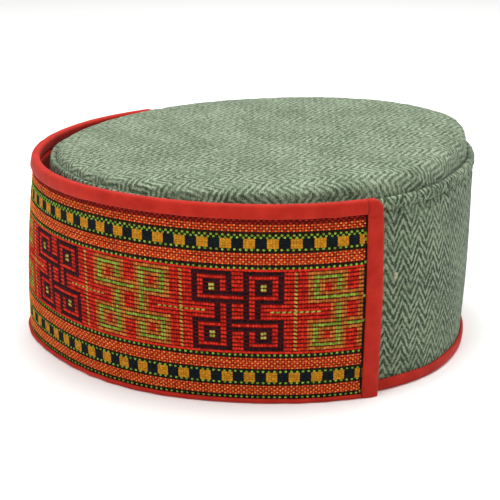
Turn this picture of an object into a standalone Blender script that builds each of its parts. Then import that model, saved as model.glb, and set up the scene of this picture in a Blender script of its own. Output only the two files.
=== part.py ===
"""A flat-topped wool cap with a standing front flap of woven band.

Metres, +Z up, front towards -Y. The cap stands on its rim at z = 0. Plan angles are measured
from the front, positive towards +X. A height above the floor is called z, and a distance out
from the cloth of the side wall, square to it, is called out.
"""
import bpy
import bmesh
import numpy as np
from math import cos, degrees, radians, sin
from mathutils import Vector

# The cap's body
CAP_LENGTH = 0.1840          # front to back over the side wall, before its dents
CAP_WIDTH = 0.1840           # side to side over the side wall, before its dents
WALL_SWELL = 0.0008          # most that the wall bulges between its foot and its seam
SEAM_HEIGHT = 0.0775         # floor to the seam round the crown
CROWN_RISE = 0.0068          # how far the crown pillows above its seam
CROWN_TILT = 0.0034          # how much higher the pillow is towards its high side
CROWN_LIFT = 0.0022          # how much more that side rises by itself
CROWN_HIGH_SIDE = radians(155)   # plan angle of that side
WALL_CLOTH = 0.0022          # wool with its stiffening
CROWN_CLOTH = 0.0020         # wool of the crown panel
SEAM_ALLOWANCE = 0.0070      # crown edge turned down inside the wall
ROLL_HEIGHT = 0.0050         # the stitched roll at the wall's top
ROLL_PUFF = 0.0006           # how far the roll stands out
GROOVE_WIDTH = 0.0020        # the stitched groove along the roll's foot

# The standing flap
FLAP_HEIGHT = 0.0795         # floor to the flap's top edge
FLAP_RUN = 0.2740            # length of the flap along the wall
FLAP_CORNER = 0.0045         # radius of the flap's two upper corners
FLAP_FLARE = 0.0012          # most that the foot stands off
FLAP_BELLY = 0.0026          # most that the middle bulges
FLAP_STAND = 0.0050          # most that the top stands off
BAND_CLOTH = 0.0010          # woven band
LINING_CLOTH = 0.0010        # plain cloth behind the band

# The red bindings
BINDING_CLOTH = 0.0010
HEM_BINDING = 0.0048         # visible height on the wall
TOP_BINDING = 0.0058         # visible height on the flap
END_BINDING = 0.0065         # visible width on the flap's ends
FOOT_BINDING = 0.0019        # visible height on the flap's foot
EDGE_ROUND = 0.0004          # rounding of a folded edge

GAP = 0.0003                 # clearance between two pieces
STEPS_ROUND = 64             # sections round the cap
STEPS_FLAP = 44              # sections along the flap
PLAN_STEP = radians(1)       # half the step that gives the plan's direction
STEPS_CORNER = 6             # sections round a corner of the flap
STEPS_END = 9                # sections up an end of the flap
RUN_STEPS = 720              # steps round the plan when its length is measured

# Plan of the soft cap as it stands by itself: angle from the front in degrees, then the
# distance from the middle at the foot and at the seam, as shares of the half length and width.
PLAN_ROWS = (
    # angle   foot    top
    (0,       0.928,  0.903),
    (30,      0.915,  0.908),
    (60,      0.925,  0.945),
    (80,      0.972,  0.985),
    (95,      1.015,  1.005),
    (110,     1.028,  1.002),
    (125,     1.016,  0.998),
    (145,     0.998,  1.026),
    (165,     0.995,  1.066),
    (180,     1.005,  1.066),
    (210,     1.000,  1.045),
    (240,     0.975,  0.985),
    (270,     0.955,  0.936),
    (300,     0.972,  0.922),
    (330,     0.994,  0.921),
    (360,     0.928,  0.903),
)

# Side wall: height as a share of the seam's height, swell as a share of the wall's swell.
WALL_ROWS = (
    # height  swell
    (0.00,   -0.30),
    (0.07,    0.00),
    (0.30,    1.00),
    (0.60,    1.00),
    (0.85,    0.50),
    (1.00,    0.00),
)

# Stitched roll: height as a share of its own height, out as a share of its puff.
ROLL_ROWS = (
    # height  out
    (0.00,   -0.60),
    (0.16,    0.20),
    (0.42,    1.00),
    (0.70,    0.80),
    (0.90,   -0.10),
    (1.00,   -1.50),
)

# Crown pillow: reach as a share of the way from the middle to the seam, rise as a share of
# the pillow's height.
CROWN_ROWS = (
    # reach   rise
    (1.000,   0.06),
    (0.992,   0.31),
    (0.975,   0.62),
    (0.940,   0.81),
    (0.880,   0.92),
    (0.760,   0.97),
    (0.560,   1.00),
    (0.300,   1.00),
)

# Flap: run as a share of half its length, from the -X end to the +X end; the others as
# shares of the flare, the belly and the stand.
FLAP_ROWS = (
    # run     foot    belly   top
    (-1.00,   0.00,   0.15,   0.02),
    (-0.75,   0.30,   0.70,   0.12),
    (-0.40,   0.90,   1.10,   0.30),
    (0.00,    1.00,   1.00,   0.95),
    (0.40,    0.90,   0.90,   0.60),
    (0.75,    0.60,   0.80,   0.30),
    (1.00,    0.00,   0.60,   0.06),
)

TWEED = ("herringbone_wool", (0.270, 0.330, 0.250), 0.95)
BAND_RED = ("woven_band_red", (0.520, 0.040, 0.015), 0.85)
BINDING_RED = ("bias_binding_red", (0.560, 0.035, 0.020), 0.75)
LINING_RED = ("lining_red", (0.400, 0.020, 0.012), 0.85)

HEM_OUT = GAP + BINDING_CLOTH
WALL_FOOT = BINDING_CLOTH + GAP
FLAP_CLEAR = HEM_OUT + GAP
FLAP_THICK = LINING_CLOTH + BAND_CLOTH + BINDING_CLOTH + 2 * GAP


def column(rows, place, number, round_trip=False):
    """Read one column of a table at a place between its rows, on a smooth curve."""
    places = [row[0] for row in rows]
    values = [row[number] for row in rows]
    slopes = np.gradient(values, places)
    if round_trip:
        slopes[0] = slopes[-1] = (slopes[0] + slopes[-1]) / 2
    place = min(max(place, places[0]), places[-1])
    low = min(int(np.searchsorted(places, place, "right")) - 1, len(rows) - 2)
    span = places[low + 1] - places[low]
    t = (place - places[low]) / span
    rise = values[low + 1] - values[low]
    bend = (1 - t) * (slopes[low] * span - rise) + t * (rise - slopes[low + 1] * span)
    return values[low] + rise * t + t * (1 - t) * bend


def plan_point(angle, z, out):
    """A point of the wall's plan at height z, moved out; above the seam it goes straight up."""
    def place(at):
        turn = degrees(at) % 360
        foot = column(PLAN_ROWS, turn, 1, True)
        top = column(PLAN_ROWS, turn, 2, True)
        reach = foot + (top - foot) * min(z / SEAM_HEIGHT, 1)
        return Vector((CAP_WIDTH / 2 * sin(at), -CAP_LENGTH / 2 * cos(at), 0)) * reach

    along = place(angle + PLAN_STEP) - place(angle - PLAN_STEP)
    square = Vector((along.y, -along.x, 0)).normalized()
    return place(angle) + square * out + Vector((0, 0, z))


def wall_point(angle, z, out):
    """A point that lies out from the wall's cloth, which swells between foot and seam."""
    swell = column(WALL_ROWS, z / SEAM_HEIGHT, 1) * WALL_SWELL
    return plan_point(angle, z, swell + out)


def run_table():
    """Plan angles and the length run along the wall, at half its height, to each of them."""
    angles = np.linspace(-np.pi, np.pi, RUN_STEPS + 1)
    places = [plan_point(angle, SEAM_HEIGHT / 2, 0) for angle in angles]
    steps = [(b - a).length for a, b in zip(places, places[1:])]
    runs = np.concatenate(([0.0], np.cumsum(steps)))
    return angles, runs - runs[RUN_STEPS // 2]


ANGLES, RUNS = run_table()


def flap_point(run, z, out):
    """A point of the flap; out is 0 on the face towards the wall."""
    angle = float(np.interp(run, RUNS, ANGLES))
    along = run / (FLAP_RUN / 2)
    up = z / FLAP_HEIGHT
    stand = (column(FLAP_ROWS, along, 1) * FLAP_FLARE * (1 - up) ** 2
             + column(FLAP_ROWS, along, 2) * FLAP_BELLY * 4 * up * (1 - up)
             + column(FLAP_ROWS, along, 3) * FLAP_STAND * up ** 2)
    return plan_point(angle, z, FLAP_CLEAR + stand + out)


def make_material(settings):
    name, colour, roughness = settings
    material = bpy.data.materials.get(name)
    if material is None:
        material = bpy.data.materials.new(name)
        material.use_nodes = True
        shader = material.node_tree.nodes["Principled BSDF"]
        shader.inputs["Base Color"].default_value = (*colour, 1)
        shader.inputs["Roughness"].default_value = roughness
        shader.inputs["Metallic"].default_value = 0
    return material


def make_object(name, bm, material, collection):
    bmesh.ops.recalc_face_normals(bm, faces=bm.faces)
    mesh = bpy.data.meshes.new(name)
    bm.to_mesh(mesh)
    bm.free()
    mesh.materials.append(make_material(material))
    mesh.shade_smooth()
    mesh.set_sharp_from_angle(angle=radians(40))
    piece = bpy.data.objects.new(name, mesh)
    collection.objects.link(piece)
    return piece


def loft(name, sections, closed, material, collection):
    """Skin a sheet through its sections.

    A section lists one face of the sheet and then the other face back again, so that its
    first and last points are a pair, and so on.
    """
    bm = bmesh.new()
    rings = [[bm.verts.new(point) for point in section] for section in sections]
    size = len(rings[0])
    follow = rings[1:] + rings[:1] if closed else rings[1:]
    for ring, after in zip(rings, follow):
        for k in range(size):
            j = (k + 1) % size
            bm.faces.new((ring[k], ring[j], after[j], after[k]))
    if not closed:
        for ring in (rings[0], rings[-1]):
            for k in range(size // 2 - 1):
                bm.faces.new((ring[k], ring[k + 1], ring[size - 2 - k], ring[size - 1 - k]))
    return make_object(name, bm, material, collection)


def side_wall(collection):
    """Wool ring, with the stitched roll along its top."""
    roll_foot = SEAM_HEIGHT - ROLL_HEIGHT
    plain_top = roll_foot - GROOVE_WIDTH / 2
    plain = [(WALL_FOOT + (plain_top - WALL_FOOT) * share, 0.0)
             for share in (0.0, 0.06, 0.25, 0.5, 0.75, 1.0)]
    roll = [(roll_foot + ROLL_HEIGHT * up, ROLL_PUFF * out) for up, out in ROLL_ROWS]
    outside = plain + roll
    inside_top = SEAM_HEIGHT - ROLL_PUFF
    inside = [(min(z, inside_top), -WALL_CLOTH) for z, out in outside]
    sections = []
    for step in range(STEPS_ROUND):
        angle = 2 * np.pi * step / STEPS_ROUND
        face = [wall_point(angle, z, out) for z, out in outside]
        back = [wall_point(angle, z, out) for z, out in inside[:-2]]
        back += [wall_point(angle, inside_top - ROLL_PUFF, -WALL_CLOTH),
                 wall_point(angle, inside_top, -WALL_CLOTH)]
        sections.append(face + back[::-1])
    return loft("side_wall", sections, True, TWEED, collection)


def crown_panel(collection):
    """Pillowed top, its edge turned down inside the wall."""
    seat = WALL_CLOTH + GAP
    crease = SEAM_HEIGHT - ROLL_PUFF
    foot = SEAM_HEIGHT - SEAM_ALLOWANCE

    def rings(sunk):
        """Loops from the turned-down edge to near the middle; sunk is the depth of the face."""
        angles = [2 * np.pi * step / STEPS_ROUND for step in range(STEPS_ROUND)]
        edge = [wall_point(angle, SEAM_HEIGHT, -seat - sunk) for angle in angles]
        loops = []
        for z in (foot, crease - sunk):
            loops.append([wall_point(angle, z, -seat - sunk) for angle in angles])
        for reach, rise in CROWN_ROWS:
            loop = []
            for place in edge:
                lean = place.x * sin(CROWN_HIGH_SIDE) - place.y * cos(CROWN_HIGH_SIDE)
                lean /= CAP_LENGTH / 2
                tilt = CROWN_TILT * lean + CROWN_LIFT * max(lean, 0) ** 2
                z = crease + (CROWN_RISE + tilt * reach) * rise - sunk
                loop.append(Vector((place.x * reach, place.y * reach, z)))
            loops.append(loop)
        return loops

    bm = bmesh.new()
    faces = []
    for sunk in (0.0, CROWN_CLOTH):
        loops = [[bm.verts.new(point) for point in loop] for loop in rings(sunk)]
        pole = bm.verts.new((0, 0, crease + CROWN_RISE - sunk))
        for loop, after in zip(loops, loops[1:]):
            for k in range(STEPS_ROUND):
                j = (k + 1) % STEPS_ROUND
                bm.faces.new((loop[k], loop[j], after[j], after[k]))
        for k in range(STEPS_ROUND):
            bm.faces.new((loops[-1][k], loops[-1][(k + 1) % STEPS_ROUND], pole))
        faces.append(loops[0])
    for k in range(STEPS_ROUND):
        j = (k + 1) % STEPS_ROUND
        bm.faces.new((faces[0][k], faces[0][j], faces[1][j], faces[1][k]))
    return make_object("crown_panel", bm, TWEED, collection)


def hem_binding(collection):
    """Folded strip round the wall's lower edge; its flat fold is what the cap rests on."""
    far = WALL_CLOTH + HEM_OUT
    outside = ((HEM_OUT, HEM_BINDING), (HEM_OUT, EDGE_ROUND), (HEM_OUT - EDGE_ROUND, 0),
               (-far + EDGE_ROUND, 0), (-far, EDGE_ROUND), (-far, HEM_BINDING))
    inside = ((GAP, HEM_BINDING), (GAP, WALL_FOOT - GAP + EDGE_ROUND / 2),
              (GAP - EDGE_ROUND / 2, WALL_FOOT - GAP),
              (-WALL_CLOTH - GAP + EDGE_ROUND / 2, WALL_FOOT - GAP),
              (-WALL_CLOTH - GAP, WALL_FOOT - GAP + EDGE_ROUND / 2),
              (-WALL_CLOTH - GAP, HEM_BINDING))
    sections = []
    for step in range(STEPS_ROUND):
        angle = 2 * np.pi * step / STEPS_ROUND
        sections.append([wall_point(angle, z, out) for out, z in outside + inside[::-1]])
    return loft("hem_binding", sections, True, BINDING_RED, collection)


def corner_drop(to_end, radius):
    """How far a rounded upper corner lies below the top edge, to_end short of the end."""
    if to_end >= radius:
        return 0.0
    return radius - (radius ** 2 - (radius - max(to_end, 0.0)) ** 2) ** 0.5


def woven_band(collection):
    """The band itself, between the two layers of its bindings."""
    cover = BINDING_CLOTH + GAP
    half = FLAP_RUN / 2 - cover
    near, far = LINING_CLOTH + GAP, LINING_CLOTH + GAP + BAND_CLOTH
    radius = FLAP_CORNER - cover
    turn = [half - radius * (1 - sin(radians(90) * k / STEPS_CORNER)) for k in range(STEPS_CORNER)]
    turn[0] = half - radius
    ends = sorted(turn) + [half]
    middle = list(np.linspace(-half + radius, half - radius, STEPS_FLAP + 1))[1:-1]
    runs = sorted([-run for run in ends] + middle + ends)
    sections = []
    for run in runs:
        top = FLAP_HEIGHT - cover - corner_drop(half - abs(run), radius)
        heights = [cover + (top - cover) * share for share in (0, 0.25, 0.5, 0.75, 1)]
        sections.append([flap_point(run, z, far) for z in heights]
                        + [flap_point(run, z, near) for z in heights[::-1]])
    return loft("woven_band", sections, False, BAND_RED, collection)


def band_lining(collection):
    """Plain cloth on the flap's face towards the wall, framed by the bindings."""
    half = FLAP_RUN / 2 - END_BINDING - GAP
    foot, top = FOOT_BINDING + GAP, FLAP_HEIGHT - TOP_BINDING - GAP
    heights = [foot + (top - foot) * share for share in (0, 0.33, 0.67, 1)]
    sections = []
    for run in np.linspace(-half, half, STEPS_FLAP + 1):
        sections.append([flap_point(run, z, LINING_CLOTH) for z in heights]
                        + [flap_point(run, z, 0) for z in heights[::-1]])
    return loft("band_lining", sections, False, LINING_RED, collection)


def folded_strip(name, edge, reach, collection):
    """Strip folded over the flap's edge.

    edge and reach list points (run, z) of the flap: where the fold lies and, across the
    strip from it, where its two layers end.
    """
    sections = []
    for (run, z), (inner_run, inner_z) in zip(edge, reach):
        across = Vector((inner_run - run, inner_z - z))
        width = across.length
        across.normalize()

        def point(depth, out):
            return flap_point(run + across.x * depth, z + across.y * depth, out)

        layer = BINDING_CLOTH
        outside = [point(width, FLAP_THICK), point(EDGE_ROUND, FLAP_THICK),
                   point(0, FLAP_THICK - EDGE_ROUND), point(0, EDGE_ROUND),
                   point(EDGE_ROUND, 0), point(width, 0)]
        inside = [point(width, FLAP_THICK - layer),
                  point(layer + EDGE_ROUND / 2, FLAP_THICK - layer),
                  point(layer, FLAP_THICK - layer - EDGE_ROUND / 2),
                  point(layer, layer + EDGE_ROUND / 2),
                  point(layer + EDGE_ROUND / 2, layer), point(width, layer)]
        sections.append(outside + inside[::-1])
    return loft(name, sections, False, BINDING_RED, collection)


def long_bindings(collection):
    """Strips along the flap's top and foot, between the two end strips."""
    half = FLAP_RUN / 2 - END_BINDING - GAP
    runs = np.linspace(-half, half, STEPS_FLAP + 1)
    folded_strip("band_top_binding",
                 [(run, FLAP_HEIGHT) for run in runs],
                 [(run, FLAP_HEIGHT - TOP_BINDING) for run in runs], collection)
    folded_strip("band_foot_binding",
                 [(run, 0.0) for run in runs],
                 [(run, FOOT_BINDING) for run in runs], collection)


def end_bindings(collection):
    """Strips up the flap's two ends and round its upper corners."""
    half = FLAP_RUN / 2
    inner = half - END_BINDING
    turn_foot = FLAP_HEIGHT - FLAP_CORNER
    inner_top = FLAP_HEIGHT - TOP_BINDING - GAP * 2
    inner_foot = inner_top - FLAP_CORNER / 2
    climb = np.linspace(0, 1, STEPS_END)
    edge = [(half, turn_foot * share) for share in climb]
    reach = [(inner, inner_foot * share) for share in climb]
    for k in range(1, STEPS_CORNER + 1):
        angle = radians(90) * k / STEPS_CORNER
        share = k / (STEPS_CORNER + 2)
        edge.append((half - FLAP_CORNER * (1 - cos(angle)), turn_foot + FLAP_CORNER * sin(angle)))
        reach.append((inner, inner_foot + (inner_top - inner_foot) * share))
    edge.append((inner, FLAP_HEIGHT))
    reach.append((inner, inner_top))
    for name, side in (("band_right_binding", 1), ("band_left_binding", -1)):
        folded_strip(name,
                     [(side * run, z) for run, z in edge],
                     [(side * run, z) for run, z in reach], collection)


def centre_on_floor(pieces):
    """Put the origin under the middle of the cap's overall box."""
    corners = np.array([vertex.co for piece in pieces for vertex in piece.data.vertices])
    low, high = corners.min(axis=0), corners.max(axis=0)
    shift = Vector((-(low[0] + high[0]) / 2, -(low[1] + high[1]) / 2, 0))
    for piece in pieces:
        for vertex in piece.data.vertices:
            vertex.co += shift


def main():
    for item in list(bpy.data.objects):
        bpy.data.objects.remove(item)
    collection = bpy.data.collections.new("himachali_cap")
    bpy.context.scene.collection.children.link(collection)
    side_wall(collection)
    crown_panel(collection)
    hem_binding(collection)
    woven_band(collection)
    band_lining(collection)
    long_bindings(collection)
    end_bindings(collection)
    centre_on_floor(list(collection.objects))


main()
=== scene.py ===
from math import radians

import bmesh
import bpy
import numpy as np
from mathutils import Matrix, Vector


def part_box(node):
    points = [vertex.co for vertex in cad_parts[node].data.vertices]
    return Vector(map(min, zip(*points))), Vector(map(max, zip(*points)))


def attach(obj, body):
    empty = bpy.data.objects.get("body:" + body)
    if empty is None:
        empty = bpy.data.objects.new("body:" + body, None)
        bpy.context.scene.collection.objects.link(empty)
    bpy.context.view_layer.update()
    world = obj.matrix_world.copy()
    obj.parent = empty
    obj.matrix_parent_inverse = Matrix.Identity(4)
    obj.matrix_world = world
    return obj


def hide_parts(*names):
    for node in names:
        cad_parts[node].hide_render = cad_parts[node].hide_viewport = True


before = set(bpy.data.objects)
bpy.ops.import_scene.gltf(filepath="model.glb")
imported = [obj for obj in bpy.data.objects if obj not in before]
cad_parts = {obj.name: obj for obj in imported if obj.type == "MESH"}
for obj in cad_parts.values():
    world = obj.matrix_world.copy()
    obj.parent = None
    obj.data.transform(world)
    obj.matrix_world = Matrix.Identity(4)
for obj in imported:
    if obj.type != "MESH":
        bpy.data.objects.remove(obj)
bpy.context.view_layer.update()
rng = np.random.default_rng(41)

# The CAD model's sizes, in metres. The front of the cap looks towards -Y.
cap = {
    "length": 0.1840, "width": 0.1840, "swell": 0.0008, "seamHeight": 0.0775,
    "crownRise": 0.0068, "crownTilt": 0.0034, "crownLift": 0.0022, "crownHighSide": radians(155),
    "wallCloth": 0.0022, "crownCloth": 0.0020, "seamAllowance": 0.0070,
    "rollHeight": 0.0050, "rollPuff": 0.0006, "binding": 0.0010, "hemBinding": 0.0048,
    "gap": 0.0003,
}
flap = {
    "height": 0.0795, "run": 0.2740, "corner": 0.0045, "flare": 0.0012, "belly": 0.0026,
    "stand": 0.0050, "cloth": 0.0010, "topBinding": 0.0053, "endBinding": 0.0065,
    "footBinding": 0.0019,
}
hemOut = cap["gap"] + cap["binding"]
flapClear = hemOut + cap["gap"]
flapThick = 3 * flap["cloth"] + 2 * cap["gap"]
bandNear = flap["cloth"] + cap["gap"]
bandFar = bandNear + flap["cloth"]

# Angle from the front in degrees, then the plan's reach at the foot and at the seam.
planRows = (
    (0, 0.928, 0.903), (30, 0.915, 0.908), (60, 0.925, 0.945), (80, 0.972, 0.985),
    (95, 1.015, 1.005), (110, 1.028, 1.002), (125, 1.016, 0.998), (145, 0.998, 1.026),
    (165, 0.995, 1.066), (180, 1.005, 1.066), (210, 1.000, 1.045), (240, 0.975, 0.985),
    (270, 0.955, 0.936), (300, 0.972, 0.922), (330, 0.994, 0.921), (360, 0.928, 0.903),
)
# Height, swell
wallRows = ((0, -0.30), (0.07, 0), (0.30, 1), (0.60, 1), (0.85, 0.5), (1, 0))
# Height in the roll, out
rollRows = ((0, -1.00), (0.16, 0.10), (0.42, 1), (0.70, 0.80), (0.90, -0.10), (1, -1.5))
# Reach, rise
crownRows = (
    (0, 1), (0.300, 1), (0.560, 1), (0.760, 0.97), (0.880, 0.92), (0.940, 0.84),
    (0.975, 0.71), (0.992, 0.46), (1, 0.06),
)
# Run, foot, belly, top
flapRows = (
    (-1, 0, 0.15, 0.02), (-0.75, 0.30, 0.70, 0.12), (-0.40, 0.90, 1.10, 0.30), (0, 1, 1, 0.95),
    (0.40, 0.90, 0.90, 0.60), (0.75, 0.60, 0.80, 0.30), (1, 0, 0.60, 0.06),
)


def readColumn(rows, places, number, roundTrip=False):
    at = np.array([row[0] for row in rows], float)
    values = np.array([row[number] for row in rows], float)
    slopes = np.gradient(values, at)
    if roundTrip:
        slopes[0] = slopes[-1] = (slopes[0] + slopes[-1]) / 2
    places = np.clip(places, at[0], at[-1])
    low = np.clip(np.searchsorted(at, places, "right") - 1, 0, len(at) - 2)
    span = at[low + 1] - at[low]
    t = (places - at[low]) / span
    rise = values[low + 1] - values[low]
    bend = (1 - t) * (slopes[low] * span - rise) + t * (rise - slopes[low + 1] * span)
    return values[low] + rise * t + t * (1 - t) * bend


def planPlace(angle, z):
    turn = np.degrees(angle) % 360
    foot = readColumn(planRows, turn, 1, True)
    top = readColumn(planRows, turn, 2, True)
    reach = foot + (top - foot) * np.minimum(z / cap["seamHeight"], 1)
    return np.stack((cap["width"] / 2 * np.sin(angle) * reach,
                     -cap["length"] / 2 * np.cos(angle) * reach), -1)


def planPoint(angle, z, out, centre=(0, 0)):
    angle, z, out = np.broadcast_arrays(*(np.asarray(v, float) for v in (angle, z, out)))
    step = radians(1)
    along = planPlace(angle + step, z) - planPlace(angle - step, z)
    square = np.stack((along[..., 1], -along[..., 0]), -1)
    square /= np.linalg.norm(square, axis=-1, keepdims=True)
    flat = planPlace(angle, z) + square * out[..., None] + np.asarray(centre)
    return np.concatenate((flat, z[..., None]), -1)


def wallPoint(angle, z, out, centre=(0, 0)):
    swell = readColumn(wallRows, np.asarray(z) / cap["seamHeight"], 1) * cap["swell"]
    return planPoint(angle, z, swell + out, centre)


# The plan's middle in the frame, from where the CAD's hem lies
hemTurn = np.linspace(0, 2 * np.pi, 64, endpoint=False)
hemEdge = np.concatenate([wallPoint(hemTurn, z, hemOut) for z in (0.0004, cap["hemBinding"])])
planCentre = np.array(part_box("hem_binding")[0])[:2] - hemEdge[:, :2].min(axis=0)

turns = np.linspace(-np.pi, np.pi, 721)
steps = np.linalg.norm(np.diff(planPoint(turns, cap["seamHeight"] / 2, 0), axis=0), axis=1)
runs = np.concatenate(([0], np.cumsum(steps)))
perimeter = runs[-1]
runs -= runs[len(runs) // 2]


def flapPoint(run, z, out):
    angle = np.interp(run, runs, turns)
    along = run / (flap["run"] / 2)
    up = z / flap["height"]
    stand = (readColumn(flapRows, along, 1) * flap["flare"] * (1 - up) ** 2
             + readColumn(flapRows, along, 2) * flap["belly"] * 4 * up * (1 - up)
             + readColumn(flapRows, along, 3) * flap["stand"] * up ** 2)
    return planPoint(angle, z, flapClear + stand + out, planCentre)


def ripple(x, y, size, seed):
    # A smooth random field of about -1 to 1 that repeats round the cap in x
    picked = np.random.default_rng(seed)
    total = np.zeros(np.broadcast(x, y).shape)
    rounds = max(int(perimeter / size), 1)
    for k in range(7):
        turnsRound = picked.integers(max(rounds // 2, 1), rounds * 2)
        slant = picked.uniform(-1, 1) * 2 * np.pi / size
        total += np.sin(2 * np.pi * turnsRound * x / perimeter + slant * y
                        + picked.uniform(0, 2 * np.pi))
    return total / 3.5


def linear(code):
    shares = [int(code[k:k + 2], 16) / 255 for k in (1, 3, 5)]
    return tuple(v / 12.92 if v <= 0.04045 else ((v + 0.055) / 1.055) ** 2.4
                 for v in shares) + (1.0,)


def add(tree, kind, inputs=(), **settings):
    made = tree.nodes.new(kind)
    for key, value in settings.items():
        setattr(made, key, value)
    for key, value in dict(inputs).items():
        if isinstance(value, bpy.types.NodeSocket):
            tree.links.new(value, made.inputs[key])
        else:
            made.inputs[key].default_value = value
    return made


def ramp(tree, fac, stops):
    made = add(tree, "ShaderNodeValToRGB", {0: fac})
    elements = made.color_ramp.elements
    while len(elements) < len(stops):
        elements.new(0.5)
    for element, (place, code) in zip(elements, stops):
        element.position = place
        element.color = linear(code)
    return made.outputs[0]


def startMaterial(name, roughness, sheen):
    material = bpy.data.materials.new(name)
    material.use_nodes = True
    shader = material.node_tree.nodes["Principled BSDF"]
    shader.inputs["Roughness"].default_value = roughness
    shader.inputs["Sheen Weight"].default_value = sheen
    shader.inputs["Sheen Roughness"].default_value = 0.5
    shader.inputs["Specular IOR Level"].default_value = 0.12
    return material, material.node_tree, shader


# Herringbone wool tweed, grey-green, with light and dark strands; sizes in millimetres
tweedLook = {
    "halfColumn": 4.4, "slope": 1.75, "pitch": 4.1, "strand": 0.50, "fleck": 2.2,
    "wander": 9.0, "wanderBy": 1.5, "wobble": 1.3, "wobbleBy": 1.6,
    "name": "herringbone_wool_tweed", "contrast": 1.8,
    "dark": "#3A4835", "middle": "#697960", "light": "#A0AE93",
}
# The wall gets a darker copy of the same cloth as painted shade for the upright wall, and its strokes show
# more
wallShadedTweedLook = {**tweedLook, "name": "herringbone_wool_tweed_painted_shade", "contrast": 2.3,
                 "wanderBy": 1.8, "wobbleBy": 1.6,
                 "dark": "#2C3A29", "middle": "#596A52", "light": "#93A286"}


def makeTweed(look):
    material, tree, shader = startMaterial(look["name"], 0.95, 0.12)
    place = add(tree, "ShaderNodeUVMap", uv_map="weave").outputs[0]
    moved = place
    for size, amount in (("wander", "wanderBy"), ("wobble", "wobbleBy")):
        noise = add(tree, "ShaderNodeTexNoise", {"Vector": place, "Scale": 1 / look[size],
                                                 "Detail": 1.0}).outputs["Color"]
        shift = add(tree, "ShaderNodeVectorMath", {0: noise, 1: (0.5, 0.5, 0.5)},
                    operation="SUBTRACT").outputs[0]
        moved = add(tree, "ShaderNodeVectorMath",
                    {0: shift, 1: (look[amount], look[amount], 0), 2: moved},
                    operation="MULTIPLY_ADD").outputs[0]
    parts = add(tree, "ShaderNodeSeparateXYZ", {0: moved})
    inColumn = add(tree, "ShaderNodeMath", {0: parts.outputs[0], 1: look["halfColumn"]},
                   operation="PINGPONG").outputs[0]
    leaned = add(tree, "ShaderNodeMath", {0: inColumn, 1: look["slope"], 2: parts.outputs[1]},
                 operation="MULTIPLY_ADD").outputs[0]
    phase = add(tree, "ShaderNodeMath", {0: leaned, 1: look["pitch"] / 2},
                operation="PINGPONG").outputs[0]
    stroke = add(tree, "ShaderNodeMath", {0: phase, 1: look["pitch"] / 2},
                 operation="DIVIDE").outputs[0]
    # The strokes show more in some places than in others
    patch = add(tree, "ShaderNodeTexNoise", {"Vector": place, "Scale": 1 / 11, "Detail": 2.0})
    shown = add(tree, "ShaderNodeMath", {0: patch.outputs[0], 1: look["contrast"], 2: -0.2},
                operation="MULTIPLY_ADD").outputs[0]
    fromMiddle = add(tree, "ShaderNodeMath", {0: stroke, 1: 0.5}, operation="SUBTRACT").outputs[0]
    mixed = add(tree, "ShaderNodeMath", {0: fromMiddle, 1: shown, 2: 0.5},
                operation="MULTIPLY_ADD").outputs[0]
    for size, amount in ((look["strand"], 1.6), (look["fleck"], 1.2), (24.0, 0.6)):
        noise = add(tree, "ShaderNodeTexNoise", {"Vector": place, "Scale": 1 / size,
                                                 "Detail": 2.0, "Roughness": 0.6}).outputs[0]
        centred = add(tree, "ShaderNodeMath", {0: noise, 1: 0.5}, operation="SUBTRACT").outputs[0]
        mixed = add(tree, "ShaderNodeMath", {0: centred, 1: amount, 2: mixed},
                    operation="MULTIPLY_ADD").outputs[0]
    colour = ramp(tree, mixed, ((0.10, look["dark"]), (0.48, look["middle"]),
                                (0.95, look["light"])))
    tree.links.new(colour, shader.inputs["Base Color"])
    bump = add(tree, "ShaderNodeBump", {"Strength": 0.8, "Distance": 0.0004, "Height": mixed})
    tree.links.new(bump.outputs[0], shader.inputs["Normal"])
    return material


# Plain-woven cotton in red for the bindings and the lining
bindingLook = {"name": "red_cotton_binding", "dark": "#9C190C", "light": "#C02C1C",
               "thread": 0.45, "roughness": 0.75, "sheen": 0.05}
liningLook = {"name": "red_cotton_lining", "dark": "#B5180C", "light": "#DC2C18",
              "thread": 0.60, "roughness": 0.85, "sheen": 0.05}
# The band's ground shows only between the raised threads. Its dark red is painted shade in those gaps
bandGapShadeLook = {"name": "woven_band_ground_painted_shade", "dark": "#380603", "light": "#700E06",
              "thread": 1.00, "roughness": 0.90, "sheen": 0.0}


def makePlain(look):
    material, tree, shader = startMaterial(look["name"], look["roughness"], look["sheen"])
    place = add(tree, "ShaderNodeUVMap", uv_map="weave").outputs[0]
    parts = add(tree, "ShaderNodeSeparateXYZ", {0: place})
    waves = []
    for k in (0, 1):
        turn = add(tree, "ShaderNodeMath", {0: parts.outputs[k], 1: 2 * np.pi / look["thread"]},
                   operation="MULTIPLY").outputs[0]
        waves.append(add(tree, "ShaderNodeMath", {0: turn}, operation="SINE").outputs[0])
    weave = add(tree, "ShaderNodeMath", {0: waves[0], 1: waves[1]},
                operation="MULTIPLY").outputs[0]
    cloud = add(tree, "ShaderNodeTexNoise", {"Vector": place, "Scale": 0.12, "Detail": 4.0,
                                             "Roughness": 0.65}).outputs[0]
    mixed = add(tree, "ShaderNodeMath", {0: weave, 1: 0.12, 2: cloud},
                operation="MULTIPLY_ADD").outputs[0]
    colour = ramp(tree, mixed, ((0.25, look["dark"]), (0.75, look["light"])))
    tree.links.new(colour, shader.inputs["Base Color"])
    bump = add(tree, "ShaderNodeBump", {"Strength": 0.35, "Distance": 0.0001, "Height": weave})
    tree.links.new(bump.outputs[0], shader.inputs["Normal"])
    return material


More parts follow.
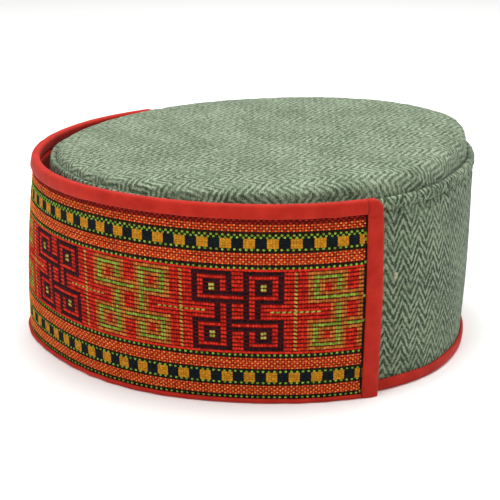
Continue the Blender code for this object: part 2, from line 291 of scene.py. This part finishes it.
def makeThread(name, dark, light):
    material, tree, shader = startMaterial(name, 0.85, 0.0)
    place = add(tree, "ShaderNodeTexCoord").outputs["Object"]
    fibre = add(tree, "ShaderNodeTexNoise", {"Vector": place, "Scale": 1400.0, "Detail": 3.0,
                                             "Roughness": 0.6}).outputs[0]
    own = add(tree, "ShaderNodeAttribute", attribute_name="shade").outputs["Fac"]
    mixed = add(tree, "ShaderNodeMath", {0: fibre, 1: 0.5, 2: own},
                operation="MULTIPLY_ADD").outputs[0]
    colour = ramp(tree, mixed, ((0.30, dark), (1.05, light)))
    tree.links.new(colour, shader.inputs["Base Color"])
    bump = add(tree, "ShaderNodeBump", {"Strength": 0.4, "Distance": 0.0001, "Height": fibre})
    tree.links.new(bump.outputs[0], shader.inputs["Normal"])
    return material


# Threads of the band and the stitching: dark shade, light shade
threadLooks = {
    "red": ("red_wool_thread", "#9C1007", "#DC321C"),
    "rust": ("rust_red_wool_thread", "#8C1206", "#CC3416"),
    # The dull red thread fills the two rows under the top binding: real thread dots, made darker as painted
    # shade under the binding's edge
    "dull": ("dull_red_wool_thread_painted_shade", "#701008", "#AC2614"),
    "orange": ("orange_wool_thread", "#B8601E", "#E89648"),
    "black": ("black_wool_thread", "#0A0904", "#231B0C"),
    "gold": ("gold_wool_thread", "#9C620C", "#D0901E"),
    "green": ("green_wool_thread", "#4A7420", "#8AB442"),
    "ochre": ("ochre_wool_thread", "#8E4A14", "#CC7E34"),
    "moss": ("moss_green_wool_thread", "#4C701A", "#98B040"),
    "navy": ("navy_wool_thread", "#04090B", "#111C20"),
    "maroon": ("maroon_wool_thread", "#10060A", "#2E121B"),
    "lime": ("yellow_green_wool_thread", "#7C7A22", "#BDB85C"),
    "olive": ("olive_wool_thread", "#6E7024", "#ACA84E"),
    "grey": ("grey_green_sewing_thread", "#3C4A3A", "#63735C"),
    "tan": ("tan_wool_slub", "#9A9678", "#C2BFA2"),
}


def makeMesh(name, points, faces, uvs, material):
    mesh = bpy.data.meshes.new(name)
    mesh.from_pydata(points, [], faces)
    layer = mesh.uv_layers.new(name="weave")
    layer.data.foreach_set("uv", np.asarray(uvs, float).ravel())
    bm = bmesh.new()
    bm.from_mesh(mesh)
    bmesh.ops.recalc_face_normals(bm, faces=bm.faces)
    bm.to_mesh(mesh)
    bm.free()
    mesh.materials.append(material)
    mesh.shade_smooth()
    piece = bpy.data.objects.new(name, mesh)
    bpy.context.scene.collection.objects.link(piece)
    return piece


def loft(name, sections, along, across, closed, material):
    # along and across are in millimetres, one value more than the stations where it closes
    stations, count = sections.shape[:2]
    faces, uvs = [], []
    for i in range(stations if closed else stations - 1):
        j = (i + 1) % stations
        for k in range(count):
            m = (k + 1) % count
            faces.append((i * count + k, i * count + m, j * count + m, j * count + k))
            uvs += ((along[i], across[k]), (along[i], across[k + 1]),
                    (along[i + 1], across[k + 1]), (along[i + 1], across[k]))
    if not closed:
        for i in (0, stations - 1):
            for k in range(count // 2 - 1):
                ring = (k, k + 1, count - 2 - k, count - 1 - k)
                faces.append(tuple(i * count + m for m in ring))
                uvs += [(along[i], across[m]) for m in ring]
    return makeMesh(name, sections.reshape(-1, 3), faces, uvs, material)


def resample(points, count):
    points = np.asarray(points, float)
    lengths = np.concatenate(([0], np.cumsum(np.linalg.norm(np.diff(points, axis=0), axis=1))))
    at = np.linspace(0, lengths[-1], count)
    return np.stack([np.interp(at, lengths, points[:, k]) for k in (0, 1)], -1)


def foldProfile(width, thick, layer, fold, puff, count):
    # Outside and inside of a folded strip as rows of (depth from the fold, out)
    edge = layer * 0.45
    quarter = np.linspace(0, np.pi / 2, 7)
    leg = np.linspace(0, 1, 9)[1:-1]
    outside = [(width, thick - layer + 0.00005)]
    outside += [(width - edge * (1 - np.cos(a)), thick - edge + edge * np.sin(a)) for a in quarter]
    outside += [(width - edge - (width - edge - fold) * s, thick + puff * np.sin(np.pi * s))
                for s in leg]
    outside += [(fold - fold * np.sin(a), thick - fold + fold * np.cos(a)) for a in quarter]
    outside += [(fold - fold * np.cos(a), fold - fold * np.sin(a)) for a in quarter]
    outside += [(width - edge + edge * np.sin(a), edge * (1 - np.cos(a))) for a in quarter]
    outside += [(width, layer - 0.00005)]
    turn = fold * 0.5
    inside = [(width, thick - layer)]
    inside += [(layer + turn - turn * np.sin(a), thick - layer - turn + turn * np.cos(a))
               for a in quarter]
    inside += [(layer + turn - turn * np.cos(a), layer + turn - turn * np.sin(a))
               for a in quarter]
    inside += [(width, layer)]
    return np.concatenate((resample(outside, count), resample(inside, count)[::-1]))


def lengthAcross(profile):
    closed = np.concatenate((profile, profile[:1]))
    return np.concatenate(([0], np.cumsum(np.linalg.norm(np.diff(closed, axis=0), axis=1)))) * 1000


def finishPiece(piece, slot, *nodes):
    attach(piece, "root")
    if nodes:
        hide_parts(*nodes)
    return piece


tweed = makeTweed(tweedLook)
# The wall's tweed is the darker copy of the crown's cloth: painted shade on the upright wall
wallShadedTweed = makeTweed(wallShadedTweedLook)
bindingRed = makePlain(bindingLook)
liningRed = makePlain(liningLook)
bandGapShadeRed = makePlain(bandGapShadeLook)
threads = {key: makeThread(*look) for key, look in threadLooks.items()}
print("stage: materials")

# Side wall, with the stitched roll along its top
wall = {"stations": 720, "plainRows": 40, "rollRows": 26, "insideRows": 24, "columns": 64,
        "pucker": 0.00042, "puckerSize": 0.008, "sag": 0.00025, "sagSize": 0.05}


def wallRipple(angle, z):
    run = np.interp((angle + np.pi) % (2 * np.pi) - np.pi, turns, runs)
    fromGroove = (z - (cap["seamHeight"] - cap["rollHeight"])) / 0.005
    free = np.clip((z - 0.006) / 0.012, 0, 1)
    return (wall["sag"] * free * ripple(run, z, wall["sagSize"], 3)
            + wall["pucker"] * np.exp(-fromGroove ** 2) * ripple(run, z * 0, wall["puckerSize"], 5))


def makeWall():
    foot, seam = hemOut, cap["seamHeight"]
    rollFoot = seam - cap["rollHeight"]
    plain = np.linspace(foot, rollFoot - 0.0003, wall["plainRows"])
    roll = np.linspace(rollFoot, seam, wall["rollRows"])
    z = np.concatenate((plain, roll))
    rollOut = readColumn(rollRows, (roll - rollFoot) / cap["rollHeight"], 1)
    dip = rollRows[0][1] * np.exp(-((rollFoot - plain) / 0.0009) ** 2)
    out = np.concatenate((dip, rollOut)) * cap["rollPuff"]
    inside = np.linspace(seam - cap["rollPuff"], foot, wall["insideRows"])
    allZ = np.concatenate((z, inside))
    allOut = np.concatenate((out, np.full(len(inside), -cap["wallCloth"])))
    angle = np.linspace(-np.pi, np.pi, wall["stations"] + 1)
    along = np.interp(angle, turns, runs) / perimeter
    along = along * wall["columns"] * 2 * tweedLook["halfColumn"]
    angle = angle[:-1, None]
    # The roll lies flat behind the flap
    roundness = 1 - 0.8 * np.exp(-((angle + radians(45)) / radians(70)) ** 4)
    allOut = np.where(allOut > -cap["rollPuff"] * 1.6, allOut * roundness, allOut)
    sections = wallPoint(angle, allZ, allOut + wallRipple(angle, allZ), planCentre)
    across = np.concatenate((allZ, allZ[:1])) * 1000
    # The wall wears the darker tweed copy, which is painted shade
    piece = loft("side_wall_cloth", sections, along, across, True, wallShadedTweed)
    return finishPiece(piece, "herringbone_wool", "side_wall")


makeWall()

# Pillowed crown, its edge turned down inside the wall
crown = {"stations": 360, "flatRings": 34, "edgeRings": 26, "wave": 0.00025, "waveSize": 0.09,
         "pucker": 0.00012, "puckerSize": 0.012, "columnTurn": radians(72),
         "acrossScale": 0.70, "alongScale": 1.35}


def crownFace(sunk):
    # Rings from the turned-down edge to near the middle
    angle = np.linspace(-np.pi, np.pi, crown["stations"], endpoint=False)
    run = np.interp(angle, turns, runs)
    seat = cap["wallCloth"] + cap["gap"]
    crease = cap["seamHeight"] - cap["rollPuff"]
    edge = wallPoint(angle, cap["seamHeight"], -seat - sunk)
    high = cap["crownHighSide"]
    lean = (edge[:, 0] * np.sin(high) - edge[:, 1] * np.cos(high)) / (cap["length"] / 2)
    tilt = cap["crownTilt"] * lean + cap["crownLift"] * np.maximum(lean, 0) ** 2
    rings = [wallPoint(angle, z, -seat - sunk, planCentre)
             for z in (cap["seamHeight"] - cap["seamAllowance"], crease - sunk)]
    reaches = np.concatenate((1 - 0.13 * np.linspace(0, 1, crown["edgeRings"]) ** 1.7,
                              np.linspace(0.87, 0.02, crown["flatRings"])[1:]))
    for reach in reaches:
        rise = float(readColumn(crownRows, reach, 1))
        seam = np.clip((reach - 0.80) / 0.17, 0, 1) * (1 - reach) / 0.03
        z = (crease + (cap["crownRise"] + tilt * reach) * rise - sunk
             + crown["wave"] * rise * ripple(run, reach * 0.09, crown["waveSize"], 11) * reach
             + crown["pucker"] * np.minimum(seam, 1) * ripple(run, 0, crown["puckerSize"], 12))
        flat = edge[:, :2] * reach + planCentre
        rings.append(np.concatenate((flat, z[:, None]), 1))
    pole = (planCentre[0], planCentre[1], crease + cap["crownRise"] - sunk)
    # The cloth's own flat place of each point, by its way over the surface from the pole
    inward = np.concatenate((np.broadcast_to(pole, rings[0].shape)[None], np.array(rings)[::-1]))
    way = np.cumsum(np.linalg.norm(np.diff(inward, axis=0), axis=2), axis=0)[::-1]
    spoke = edge[:, :2] / np.linalg.norm(edge[:, :2], axis=1, keepdims=True)
    return rings, pole, spoke[None] * way[..., None]


def makeCrown():
    points, faces, flats, firsts = [], [], [], []
    count = crown["stations"]
    for sunk in (0.0, cap["crownCloth"]):
        rings, pole, flat = crownFace(sunk)
        flats += [*flat.reshape(-1, 2), (0, 0)]
        start = len(points)
        firsts.append(start)
        for ring in rings:
            points.extend(ring)
        points.append(pole)
        for r in range(len(rings) - 1):
            for k in range(count):
                m = (k + 1) % count
                a, b = start + r * count, start + (r + 1) * count
                faces.append((a + k, a + m, b + m, b + k))
        last = start + (len(rings) - 1) * count
        faces += [(last + k, last + (k + 1) % count, len(points) - 1) for k in range(count)]
    for k in range(count):
        m = (k + 1) % count
        faces.append((firsts[0] + k, firsts[0] + m, firsts[1] + m, firsts[1] + k))
    flats = np.array(flats)
    turn = crown["columnTurn"]
    right = np.array((np.cos(turn), np.sin(turn)))
    ahead = np.array((-right[1], right[0]))
    flats = np.stack((flats @ ahead * crown["acrossScale"],
                      flats @ right * crown["alongScale"]), -1) * 1000
    uvs = [flats[v] for face in faces for v in face]
    piece = makeMesh("crown_cloth", points, faces, uvs, tweed)
    return finishPiece(piece, "herringbone_wool", "crown_panel")


makeCrown()
print("stage: wall and crown")

# Red bias binding round the hem
hem = {"stations": 540, "points": 30, "fold": 0.0012, "puff": 0.00015, "wobble": 0.00012}


def makeHem():
    far = cap["wallCloth"] + hemOut
    profile = foldProfile(cap["hemBinding"], hemOut + far, cap["binding"], hem["fold"],
                          hem["puff"], hem["points"])
    angle = np.linspace(-np.pi, np.pi, hem["stations"], endpoint=False)[:, None]
    run = np.interp(angle, turns, runs)
    z, out = profile[:, 0], profile[:, 1] - far
    outer = np.clip((out - cap["gap"]) / 0.0005, 0, 1) * np.clip((z - 0.001) / 0.002, 0, 1)
    out = out + hem["wobble"] * outer * (ripple(run, z, 0.02, 21) - 0.3)
    z = z + 0.0003 * np.clip(z / 0.004, 0, 1) * (ripple(run, 0, 0.04, 22) - 0.8)
    sections = wallPoint(angle, z, out, planCentre)
    along = np.linspace(0, perimeter * 1000, hem["stations"] + 1)
    piece = loft("hem_binding_cloth", sections, along, lengthAcross(profile), True, bindingRed)
    return finishPiece(piece, "red_binding", "hem_binding")


makeHem()

# The flap's strips: fold line and inner edge as rows of (run, z)
strip = {"points": 26, "fold": 0.0011, "puff": 0.0002, "wobble": 0.00015, "spacing": 0.0008}


def makeStrip(name, node, edge, reach, puff, creaseHeight=None):
    edge, reach = np.asarray(edge, float), np.asarray(reach, float)
    across = reach - edge
    width = np.linalg.norm(across, axis=1, keepdims=True)
    across /= width
    nominal = float(np.median(width))
    fold = min(strip["fold"], nominal * 0.5)
    profile = foldProfile(nominal, flapThick, flap["cloth"], fold, puff, strip["points"])
    depth, out = profile[:, 0], profile[:, 1]
    keep = flap["cloth"] * 1.6
    far = np.clip(depth - keep, 0, None) * (width - keep) / (nominal - keep)
    depth = np.minimum(depth, keep) + far
    run = edge[:, :1] + across[:, :1] * depth
    z = edge[:, 1:] + across[:, 1:] * depth
    outer = np.clip((out - bandFar) / 0.0006, 0, 1)
    out = out + strip["wobble"] * outer * (ripple(run * 2, z, 0.03, 31) - 0.2)
    if creaseHeight:
        out = out - 0.0004 * outer * np.exp(-((z - creaseHeight) / 0.0005) ** 2)
    sections = flapPoint(run, z, out)
    places = np.concatenate(([0], np.cumsum(np.linalg.norm(np.diff(edge, axis=0), axis=1))))
    piece = loft(name, sections, places * 1000, lengthAcross(profile), False, bindingRed)
    return finishPiece(piece, "red_binding", node)


def makeStrips():
    half = flap["run"] / 2
    inner = half - flap["endBinding"] - cap["gap"]
    along = np.linspace(-inner, inner, int(2 * inner / strip["spacing"]))
    level = np.ones_like(along)
    makeStrip("flap_top_binding_cloth", "band_top_binding",
              np.stack((along, level * flap["height"]), -1),
              np.stack((along, level * (flap["height"] - flap["topBinding"])), -1), strip["puff"])
    makeStrip("flap_foot_binding_cloth", "band_foot_binding",
              np.stack((along, level * 0), -1),
              np.stack((along, level * flap["footBinding"]), -1), 0.00005)
    inner = half - flap["endBinding"]
    turnFoot = flap["height"] - flap["corner"]
    innerTop = flap["height"] - flap["topBinding"] - 2 * cap["gap"]
    innerFoot = innerTop - flap["corner"] / 2
    climb = np.linspace(0, 1, 100)
    edge = [(half, turnFoot * s) for s in climb]
    reach = [(inner, innerFoot * s) for s in climb]
    for s in np.linspace(0, 1, 19)[1:]:
        a = np.pi / 2 * s
        edge.append((half - flap["corner"] * (1 - np.cos(a)),
                     turnFoot + flap["corner"] * np.sin(a)))
        reach.append((inner, innerFoot + (innerTop - innerFoot) * s * 0.75))
    edge.append((inner, flap["height"]))
    reach.append((inner, innerTop))
    for side, word in ((1, "right"), (-1, "left")):
        makeStrip(f"flap_{word}_binding_cloth", f"band_{word}_binding",
                  [(side * x, z) for x, z in edge], [(side * x, z) for x, z in reach],
                  strip["puff"], flap["height"] - 0.0066)


makeStrips()
print("stage: bindings")

# Ground cloth of the band, dark red as painted shade between its threads, and the lining behind it
sheet = {"stations": 330, "rows": 30, "waves": 0.00008}


def makeSheets():
    cover = flap["cloth"] + cap["gap"]
    half = flap["run"] / 2 - cover
    radius = flap["corner"] - cover
    along = np.linspace(-half, half, sheet["stations"])
    short = np.clip(radius - (half - np.abs(along)), 0, radius)
    drop = radius - np.sqrt(radius ** 2 - short ** 2)
    top = flap["height"] - cover - drop
    share = np.linspace(0, 1, sheet["rows"])
    z = cover + (top[:, None] - cover) * share
    sections = np.concatenate((flapPoint(along[:, None] + z * 0, z, bandFar),
                               flapPoint(along[:, None] + z * 0, z, bandNear)[:, ::-1]), 1)
    span = np.concatenate((share, share[::-1], share[:1])) * (flap["height"] - 2 * cover) * 1000
    band = loft("woven_band_ground_painted_shade", sections, along * 1000, span, False, bandGapShadeRed)
    finishPiece(band, "woven_band", "woven_band")
    inner = flap["run"] / 2 - flap["endBinding"] - cap["gap"]
    along = np.linspace(-inner, inner, sheet["stations"])[:, None]
    foot, top = flap["footBinding"] + cap["gap"], flap["height"] - flap["topBinding"] - cap["gap"]
    z = np.linspace(foot, top, sheet["rows"])
    sections = np.concatenate((flapPoint(along + z * 0, z, flap["cloth"]),
                               flapPoint(along + z * 0, z, 0)[:, ::-1]), 1)
    span = np.concatenate((z, z[::-1], z[:1])) * 1000
    lining = loft("flap_lining_cloth", sections, along[:, 0] * 1000, span, False, liningRed)
    finishPiece(lining, "lining_cloth", "band_lining")


makeSheets()

# One motif of the band, charted: outer line A, middle line B, eye C, ground
motifChart = (
    "AAAAAAA..AAAAAAA",
    "ABBBBBA..ABBBBBA",
    "ABAAABA..ABAAABA",
    "ABACABA..ABACABA",
    "ABACABA..ABACABA",
    "ABAAAAAAAABAAABA",
    "ABBBBBBBBABBBBBA",
    "AAAAAAAAAABAAAAA",
    "....ABA..ABA....",
    "....ABA..ABA....",
    "....ABA..ABA....",
    "....ABA..ABA....",
    "AAAAABAAAAAAAAAA",
    "ABBBBBABBBBBBBBA",
    "ABAAABAAAAAAAABA",
    "ABACABA..ABACABA",
    "ABACABA..ABACABA",
    "ABAAABA..ABAAABA",
    "ABBBBBA..ABBBBBA",
    "AAAAAAA..AAAAAAA",
)
motifColours = ({"A": "maroon", "B": "red", "C": "lime", ".": "red"},
                {"A": "ochre", "B": "moss", "C": "red", ".": "red"})
# Height of a row's middle in millimetres, kind of row
stripeRows = (
    # The two dull rows just under the top binding are real thread dots, partly darkened as painted shade
    (73.6, "dulls"), (72.7, "dullsBetween"), (71.7, "oranges"), (70.7, "orangesBetween"), (69.7, "oranges"),
    (69.0, "blacks"), (68.0, "greens"), (67.1, "greensBetween"),
    (66.2, "squares"), (65.3, "squares"), (64.3, "squares"), (63.4, "squares"),
    (62.4, "greens"), (61.5, "blacks"), (60.7, "oranges"), (59.8, "orangesBetween"),
    (58.7, "oranges"), (57.8, "orangesBetween"), (57.0, "oranges"), (56.2, "blacks"),
    (55.3, "greens"), (54.5, "redsBetween"),
    (21.4, "reds"), (20.3, "greens"), (19.6, "blacks"), (18.7, "oranges"),
    (17.7, "orangesBetween"), (16.9, "oranges"), (15.9, "orangesBetween"), (14.9, "oranges"),
    (14.2, "blacks"), (13.4, "greens"), (12.5, "squares"), (11.5, "squares"),
    (10.5, "squares"), (9.5, "squares"), (8.6, "greens"), (7.9, "blacks"), (7.1, "oranges"),
    (6.2, "orangesBetween"), (5.4, "oranges"), (4.6, "orangesBetween"), (3.9, "oranges"),
    (3.2, "blacks"), (2.5, "greens"),
)
band = {"pitch": 0.00205, "zoneTop": 0.0539, "zoneFoot": 0.0220, "firstMotif": 0.0025,
        "stripeStart": -0.002625, "gapColumns": 4, "slant": radians(16), "plumpness": 1.0,
        "selvedge": 0.0012}


def addThread(rows, run, z, length, height, thick, slant, colour, shade):
    rows.append((run, z, length, height, thick, slant, colour, shade))


def selvedgeThreads(rows):
    # Dark thread down the band's cut edge, beside the end binding
    half = flap["run"] / 2 - flap["endBinding"] - band["selvedge"] / 2
    step = 0.0011
    for side in (-1, 1):
        for z in np.arange(0.003, 0.073, step):
            colour = "moss" if rng.random() < 0.18 else "black"
            addThread(rows, side * half, z, step * 1.7, band["selvedge"], 0.0006, radians(84),
                      colour, rng.uniform(0.1, 0.7))


def motifThreads():
    rows = []
    selvedgeThreads(rows)
    pitch = band["pitch"]
    half = flap["run"] / 2 - flap["endBinding"] - cap["gap"]
    rowStep = (band["zoneTop"] - band["zoneFoot"]) / len(motifChart)
    wide = len(motifChart[0])
    repeat = wide + band["gapColumns"]
    first = int(np.ceil((-half - band["firstMotif"]) / pitch))
    last = int(np.floor((half - band["firstMotif"]) / pitch))
    for column in range(first, last):
        place = band["firstMotif"] + (column + 0.5) * pitch
        shifted = column + wide // 2
        number, within = divmod(shifted, repeat)
        colours = motifColours[number % 2]
        for row, chartRow in enumerate(motifChart):
            z = band["zoneTop"] - (row + 0.5) * rowStep
            inGap = within >= wide
            if inGap:
                colour = "red"
            else:
                colour = colours[chartRow[within]]
            for side in (-1, 1):
                slant = side * band["slant"] * rng.uniform(0.6, 1.3)
                tall = 1.0 if colour == "maroon" else 0.88
                addThread(rows, place + side * pitch * 0.25, z + rng.normal(0, 0.00006),
                          pitch * 0.72, rowStep * tall, 0.00050, slant, colour,
                          rng.uniform(0.1, 0.7))
    # A thin cross of olive thread in each gap
    for number in range(-4, 5):
        centre = band["firstMotif"] + (number * repeat + repeat / 2) * pitch
        mid = (band["zoneTop"] + band["zoneFoot"]) / 2
        for row in range(len(motifChart)):
            z = band["zoneTop"] - (row + 0.5) * rowStep
            if abs(centre) < half - 0.002:
                addThread(rows, centre, z, pitch * 0.95, rowStep * 0.62, 0.0008, -radians(24),
                          "olive", rng.uniform(0.1, 0.7))
        for k in range(-4, 5):
            place = centre + k * pitch
            if abs(place) < half - 0.002:
                addThread(rows, place, mid, pitch * 0.95, 0.0009, 0.0008, radians(10),
                          "olive", rng.uniform(0.1, 0.7))
    return rows


def stripeThreads(heights):
    rows = []
    pitch = band["pitch"]
    half = flap["run"] / 2 - flap["endBinding"] - cap["gap"]
    kinds = {
        "reds": (("red", 0.0), ("red", 0.5)), "redsBetween": (("red", 0.5), ("red", 0.0)),
        "dulls": (("dull", 0.0),), "dullsBetween": (("dull", 0.5),),
        "oranges": (("orange", 0.0), ("rust", 0.5)),
        "orangesBetween": (("orange", 0.5), ("rust", 0.0)),
        "blacks": (("black", 0.0), ("black", 0.5)),
        "greens": (("green", 0.0), ("black", 0.5)),
        "greensBetween": (("green", 0.5), ("black", 0.0)),
    }
    count = int(half / pitch) + 2
    for height, kind in heights:
        z = height / 1000
        for k in range(-count, count + 1):
            if kind == "squares":
                colour = "gold" if k % 4 < 2 else "navy"
                for shift in (0.0, 0.5):
                    place = band["stripeStart"] + (k + shift - 0.25) * pitch
                    if abs(place) < half:
                        addThread(rows, place, z, pitch * 0.84, 0.00145, 0.0004,
                                  rng.uniform(-0.1, 0.1), colour, rng.uniform(0.2, 0.6))
                continue
            for colour, shift in kinds[kind]:
                place = band["stripeStart"] + (k + shift) * pitch
                if abs(place) >= half:
                    continue
                length, tall, thick = {"black": (0.74, 0.00125, 0.0004),
                                       "red": (0.80, 0.00125, 0.0004),
                                       "rust": (0.78, 0.00120, 0.0004),
                                       "dull": (0.66, 0.00085, 0.0005),
                                       "orange": (0.46, 0.00085, 0.0007),
                                       "green": (0.60, 0.00105, 0.0007)}[colour]
                addThread(rows, place + rng.normal(0, 0.00005), z + rng.normal(0, 0.00004),
                          pitch * length, tall, thick, rng.uniform(-0.25, 0.25), colour,
                          rng.uniform(0.2, 0.8))
    return rows


def threadTree(colours):
    tree = bpy.data.node_groups.new("woven_threads", "GeometryNodeTree")
    face = tree.interface
    face.new_socket("Geometry", in_out="INPUT", socket_type="NodeSocketGeometry")
    plump = face.new_socket("Plumpness", in_out="INPUT", socket_type="NodeSocketFloat")
    face.new_socket("Geometry", in_out="OUTPUT", socket_type="NodeSocketGeometry")
    start = tree.nodes.new("NodeGroupInput")
    end = tree.nodes.new("NodeGroupOutput")
    named = {}
    for name, kind in (("normal", "FLOAT_VECTOR"), ("along", "FLOAT_VECTOR"),
                       ("size", "FLOAT_VECTOR"), ("colour", "INT")):
        named[name] = add(tree, "GeometryNodeInputNamedAttribute", {"Name": name},
                          data_type=kind).outputs["Attribute"]
    turn = add(tree, "FunctionNodeAxesToRotation",
               {"Primary Axis": named["normal"], "Secondary Axis": named["along"]},
               primary_axis="Z", secondary_axis="X").outputs[0]
    size = add(tree, "ShaderNodeVectorMath", {0: named["size"], "Scale": start.outputs[1]},
               operation="SCALE").outputs[0]
    ball = add(tree, "GeometryNodeMeshIcoSphere", {"Radius": 0.5, "Subdivisions": 1})
    smooth = add(tree, "GeometryNodeSetShadeSmooth", {0: ball.outputs[0]})
    joined = add(tree, "GeometryNodeJoinGeometry")
    for number, colour in enumerate(colours):
        same = add(tree, "FunctionNodeCompare", {2: named["colour"], 3: number},
                   data_type="INT", operation="EQUAL").outputs[0]
        chosen = add(tree, "GeometryNodeSeparateGeometry", {0: start.outputs[0], 1: same},
                     domain="POINT")
        painted = add(tree, "GeometryNodeSetMaterial",
                      {0: smooth.outputs[0], "Material": threads[colour]})
        placed = add(tree, "GeometryNodeInstanceOnPoints",
                     {"Points": chosen.outputs[0], "Instance": painted.outputs[0],
                      "Rotation": turn, "Scale": size})
        tree.links.new(placed.outputs[0], joined.inputs[0])
    real = add(tree, "GeometryNodeRealizeInstances", {0: joined.outputs[0]})
    tree.links.new(real.outputs[0], end.inputs[0])
    return tree, plump.identifier


def makeThreads(name, rows, pointAt, plumpness):
    colours = sorted({row[6] for row in rows})
    run, z, length, height, thick, slant = (np.array([row[k] for row in rows]) for k in range(6))
    shade = np.array([row[7] for row in rows])
    step = 0.0004
    place = pointAt(run, z)
    along = pointAt(run + step, z) - pointAt(run - step, z)
    along /= np.linalg.norm(along, axis=1, keepdims=True)
    up = pointAt(run, z + step) - pointAt(run, z - step)
    normal = np.cross(along, up)
    normal /= np.linalg.norm(normal, axis=1, keepdims=True)
    up = np.cross(normal, along)
    tangent = along * np.cos(slant)[:, None] + up * np.sin(slant)[:, None]
    mesh = bpy.data.meshes.new(name)
    mesh.from_pydata(place, [], [])
    for key, values, kind in (("normal", normal, "FLOAT_VECTOR"), ("along", tangent, "FLOAT_VECTOR"),
                              ("size", np.stack((length, height, thick), -1), "FLOAT_VECTOR")):
        mesh.attributes.new(key, kind, "POINT").data.foreach_set("vector", values.ravel())
    mesh.attributes.new("shade", "FLOAT", "POINT").data.foreach_set("value", shade)
    mesh.attributes.new("colour", "INT", "POINT").data.foreach_set(
        "value", [colours.index(row[6]) for row in rows])
    piece = bpy.data.objects.new(name, mesh)
    bpy.context.scene.collection.objects.link(piece)
    tree, socket = threadTree(colours)
    modifier = piece.modifiers.new("threads", "NODES")
    modifier.node_group = tree
    modifier[socket] = plumpness
    graph = bpy.context.evaluated_depsgraph_get()
    made = bpy.data.meshes.new_from_object(piece.evaluated_get(graph))
    piece.modifiers.clear()
    piece.data = made
    made.name = name
    print(name, len(rows), "threads", len(made.polygons), "faces")
    return piece


def bandSurface(run, z):
    return flapPoint(run, z, bandFar + 0.00002)


finishPiece(makeThreads("band_motif_threads", motifThreads(), bandSurface, band["plumpness"]),
            "woven_band")
middle = (band["zoneTop"] + band["zoneFoot"]) / 2 * 1000
for word, heights in (("upper", [row for row in stripeRows if row[0] > middle]),
                      ("lower", [row for row in stripeRows if row[0] < middle])):
    finishPiece(makeThreads(f"band_{word}_stripe_threads", stripeThreads(heights), bandSurface,
                            band["plumpness"]), "woven_band")
print("stage: band")

# Topstitching under the roll, and one pale slub in the tweed
stitch = {"pitch": 0.0031, "length": 0.0022, "height": 0.0005, "thick": 0.0005}


def makeStitches():
    rows = []
    z = cap["seamHeight"] - cap["rollHeight"]
    count = int(perimeter / stitch["pitch"])
    for k in range(count):
        run = runs[0] + (k + 0.5) * perimeter / count
        addThread(rows, run, z, stitch["length"], stitch["height"], stitch["thick"],
                  rng.normal(0, 0.05), "grey", rng.uniform(0.2, 0.8))

    def groove(run, z):
        angle = np.interp(run, runs, turns)
        out = rollRows[0][1] * cap["rollPuff"] + 0.0001
        return wallPoint(angle, z, out + wallRipple(angle, z), planCentre)

    finishPiece(makeThreads("crown_topstitching", rows, groove, 1.0), "herringbone_wool")

    def face(run, z):
        angle = np.interp(run, runs, turns)
        return wallPoint(angle, z, wallRipple(angle, z), planCentre)

    slub = []
    for k in range(3):
        addThread(slub, 0.1460 + 0.0001 * k, 0.0454 + 0.0008 * k, 0.0026, 0.0014, 0.0008,
                  rng.uniform(-0.5, 0.5), "tan", rng.uniform(0.2, 0.7))
    finishPiece(makeThreads("wall_tweed_slub", slub, face, 1.0), "herringbone_wool")


makeStitches()
print("stage: stitching")

# Pale floor, soft studio light, camera
studio = {"floorHalf": 3.0, "floor": "#FBFBFA", "world": "#FFFFFF", "worldStrength": 0.45}


def makeFloor():
    half = studio["floorHalf"]
    mesh = bpy.data.meshes.new("floor")
    mesh.from_pydata([(-half, -half, 0), (half, -half, 0), (half, half, 0), (-half, half, 0)],
                     [], [(0, 1, 2, 3)])
    material = bpy.data.materials.new("pale_studio_floor")
    material.use_nodes = True
    shader = material.node_tree.nodes["Principled BSDF"]
    shader.inputs["Base Color"].default_value = linear(studio["floor"])
    shader.inputs["Roughness"].default_value = 0.8
    mesh.materials.append(material)
    floor = bpy.data.objects.new("floor", mesh)
    bpy.context.scene.collection.objects.link(floor)


makeFloor()
lamps = (
    # name, place, size, watts
    ("key", (0.25, -1.00, 0.85), 0.8, 4.8),
    ("fill", (0.65, 1.05, 0.75), 0.9, 3.5),
    ("top", (-0.10, 0.10, 1.30), 1.0, 20.0),
)
for name, place, size, watts in lamps:
    light = bpy.data.lights.new(name, "AREA")
    light.size = size
    light.energy = watts
    lamp = bpy.data.objects.new(name, light)
    lamp.location = place
    lamp.rotation_euler = (Vector((0, 0, 0.04)) - Vector(place)).to_track_quat("-Z", "Y").to_euler()
    bpy.context.scene.collection.objects.link(lamp)
world = bpy.data.worlds.new("studio")
world.use_nodes = True
background = world.node_tree.nodes["Background"]
background.inputs["Color"].default_value = linear(studio["world"])
background.inputs["Strength"].default_value = studio["worldStrength"]
bpy.context.scene.world = world
bpy.context.scene.view_settings.view_transform = "Standard"

aim = Vector((planCentre[0], planCentre[1], 0.0327))
lens = bpy.data.cameras.new("camera")
lens.lens = 100.8
lens.sensor_width = 36
camera = bpy.data.objects.new("camera", lens)
camera.location = (planCentre[0] + 0.5052, planCentre[1] - 0.2917, 0.2183)
camera.rotation_euler = (aim - camera.location).to_track_quat("-Z", "Y").to_euler()
bpy.context.scene.collection.objects.link(camera)
bpy.context.scene.camera = camera
